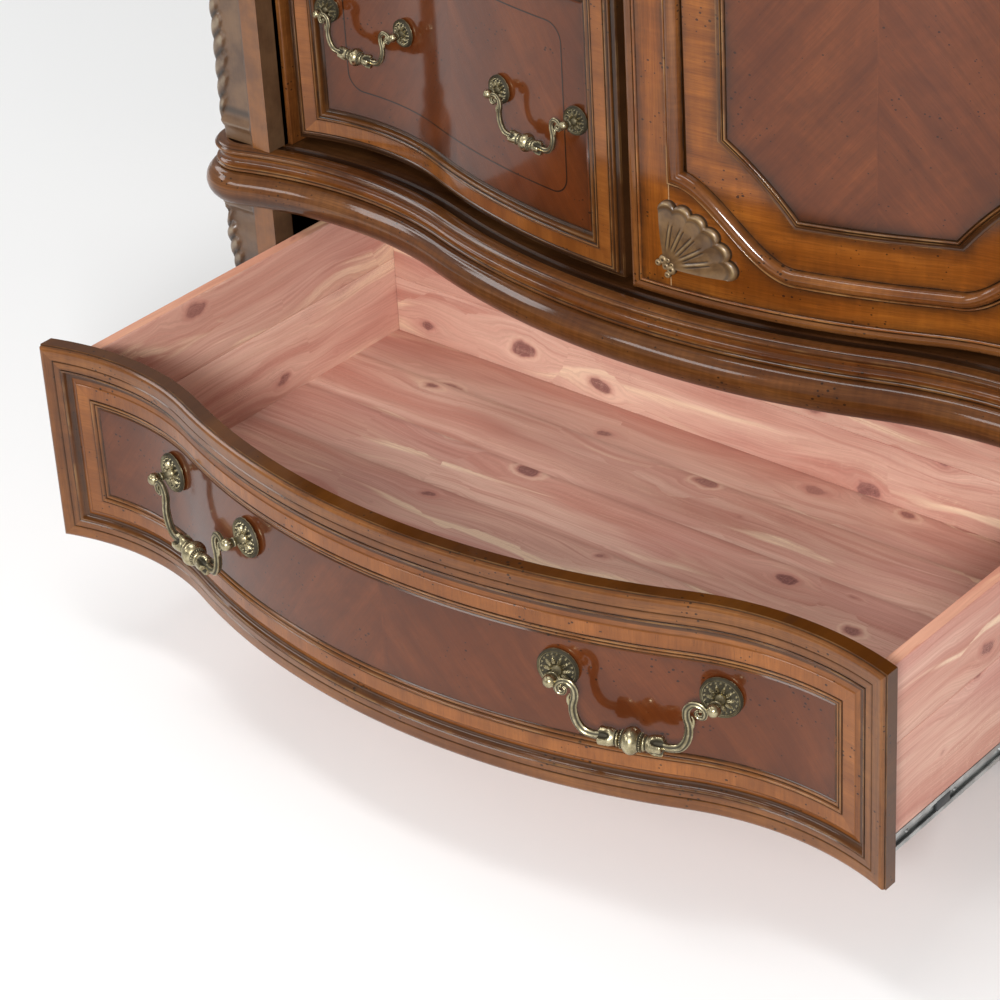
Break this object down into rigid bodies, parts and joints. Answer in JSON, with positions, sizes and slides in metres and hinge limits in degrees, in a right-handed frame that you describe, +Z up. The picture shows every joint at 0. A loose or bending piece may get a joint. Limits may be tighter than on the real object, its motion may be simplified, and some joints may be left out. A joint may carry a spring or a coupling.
{
  "type": "armoire",
  "caption": "Serpentine-fronted armoire: a wide cedar-lined bottom drawer under a waist moulding, a column of deep drawers and a panelled cupboard door above.",
  "frame": {"origin": "on the floor, in the middle of the model's box as it stands at rest, with the bottom drawer pulled out", "axes": "+X to the viewer's right when facing the front, the front faces -Y, +Z up from the floor"},
  "size_m": [1.31, 0.9999, 1.53],
  "materials": {
    "walnut": "distressed walnut and cherry, dark glazed grooves, satin lacquer",
    "veneer": "book-matched veneer, satin lacquer",
    "cedar": "bare aromatic red cedar with knots",
    "lining": "plain sealed timber",
    "drawer_lining": "sealed light timber",
    "pine": "bare secondary timber",
    "gilded": "carved, rubbed gilt over brown",
    "brass": "antique brass, dark in the hollows",
    "steel": "zinc-plated steel"
  },
  "bodies": {
    "case": {"base_front_bracket": "walnut", "base_side_brackets": "walnut", "foot_blocks": "pine", "base_moulding": "walnut", "bottom_board": "lining", "side_panel_left": "walnut", "side_panel_right": "walnut", "back_panel": "pine", "corner_posts": "walnut", "lower_pilasters": "walnut", "upper_pilasters": "walnut", "waist_board": "lining", "waist_moulding": "walnut", "centre_partition": "lining", "top_rails": "lining", "cornice_moulding": "walnut", "top_board": "walnut", "drawer_rails_and_runners": "pine", "shelves": "lining", "shelf_pins": "steel", "slide_bearers": "pine", "slide_case_members": "steel", "hinge_case_leaves": "brass"},
    "bottom_drawer": {"bottom_drawer_front": "walnut", "bottom_drawer_side_left": "cedar", "bottom_drawer_side_right": "cedar", "bottom_drawer_back": "cedar", "bottom_drawer_bottom": "cedar", "bottom_drawer_pull_mounts": "brass", "slide_drawer_members": "steel"},
    "slide_middles": {"slide_middle_members": "steel"},
    "bottom_bail_left": {"bottom_drawer_bail_left": "brass"},
    "bottom_bail_right": {"bottom_drawer_bail_right": "brass"},
    "door": {"door_frame": "walnut", "door_panel": "veneer", "door_shells": "gilded", "hinge_door_leaves": "brass", "door_pull_mount": "brass"},
    "door_drop": {"door_pull_drop": "brass"},
    "drawer_1": {"drawer_1_front": "walnut", "drawer_1_sides": "drawer_lining", "drawer_1_back": "drawer_lining", "drawer_1_bottom": "drawer_lining", "drawer_1_pull_mounts": "brass"},
    "drawer_1_bail_left": {"drawer_1_bail_left": "brass"},
    "drawer_1_bail_right": {"drawer_1_bail_right": "brass"},
    "drawer_2": {"drawer_2_front": "walnut", "drawer_2_sides": "drawer_lining", "drawer_2_back": "drawer_lining", "drawer_2_bottom": "drawer_lining", "drawer_2_pull_mounts": "brass"},
    "drawer_2_bail_left": {"drawer_2_bail_left": "brass"},
    "drawer_2_bail_right": {"drawer_2_bail_right": "brass"},
    "drawer_3": {"drawer_3_front": "walnut", "drawer_3_sides": "drawer_lining", "drawer_3_back": "drawer_lining", "drawer_3_bottom": "drawer_lining", "drawer_3_pull_mounts": "brass"},
    "drawer_3_bail_left": {"drawer_3_bail_left": "brass"},
    "drawer_3_bail_right": {"drawer_3_bail_right": "brass"}
  },
  "joints": [
    {"name": "bottom_drawer_slide", "type": "slide", "parent": "case", "child": "bottom_drawer", "axis": [0, -1, 0], "range_m": [-0.3785, 0.08]},
    {"name": "slide_middles_slide", "type": "slide", "parent": "case", "child": "slide_middles", "axis": [0, -1, 0], "range_m": [-0.18925, 0.04]},
    {"name": "door_hinge", "type": "hinge", "parent": "case", "child": "door", "pos_m": [0.525, -0.038, 0.94], "axis": [0, 0, 1], "range_deg": [0, 95]},
    {"name": "bottom_bail_left_swing", "type": "hinge", "parent": "bottom_drawer", "child": "bottom_bail_left", "pos_m": [-0.27831, -0.46919, 0.272], "axis": [-0.9509, 0.3093, 0], "range_deg": [0, 80]},
    {"name": "bottom_bail_right_swing", "type": "hinge", "parent": "bottom_drawer", "child": "bottom_bail_right", "pos_m": [0.27831, -0.46919, 0.272], "axis": [-0.9509, -0.3093, 0], "range_deg": [0, 80]},
    {"name": "drawer_1_slide", "type": "slide", "parent": "case", "child": "drawer_1", "axis": [0, -1, 0], "range_m": [0, 0.38]},
    {"name": "drawer_1_bail_left_swing", "type": "hinge", "parent": "drawer_1", "child": "drawer_1_bail_left", "pos_m": [-0.41458, -0.03541, 0.607], "axis": [-0.9993, 0.0368, 0], "range_deg": [0, 80]},
    {"name": "drawer_1_bail_right_swing", "type": "hinge", "parent": "drawer_1", "child": "drawer_1_bail_right", "pos_m": [-0.12637, -0.10113, 0.607], "axis": [-0.9887, 0.1497, 0], "range_deg": [0, 80]},
    {"name": "drawer_2_slide", "type": "slide", "parent": "case", "child": "drawer_2", "axis": [0, -1, 0], "range_m": [0, 0.38]},
    {"name": "drawer_2_bail_left_swing", "type": "hinge", "parent": "drawer_2", "child": "drawer_2_bail_left", "pos_m": [-0.41458, -0.03541, 0.937], "axis": [-0.9993, 0.0368, 0], "range_deg": [0, 80]},
    {"name": "drawer_2_bail_right_swing", "type": "hinge", "parent": "drawer_2", "child": "drawer_2_bail_right", "pos_m": [-0.12637, -0.10113, 0.937], "axis": [-0.9887, 0.1497, 0], "range_deg": [0, 80]},
    {"name": "drawer_3_slide", "type": "slide", "parent": "case", "child": "drawer_3", "axis": [0, -1, 0], "range_m": [0, 0.38]},
    {"name": "drawer_3_bail_left_swing", "type": "hinge", "parent": "drawer_3", "child": "drawer_3_bail_left", "pos_m": [-0.41458, -0.03541, 1.267], "axis": [-0.9993, 0.0368, 0], "range_deg": [0, 80]},
    {"name": "drawer_3_bail_right_swing", "type": "hinge", "parent": "drawer_3", "child": "drawer_3_bail_right", "pos_m": [-0.12637, -0.10113, 1.267], "axis": [-0.9887, 0.1497, 0], "range_deg": [0, 80]},
    {"name": "door_drop_swing", "type": "hinge", "parent": "door", "child": "door_drop", "pos_m": [0.02446, -0.11238, 0.94], "axis": [-0.9996, -0.0289, 0], "range_deg": [0, 80]}
  ],
  "couplings": [
    {"joint": "slide_middles_slide", "follows": "bottom_drawer_slide", "ratio": 0.5}
  ]
}
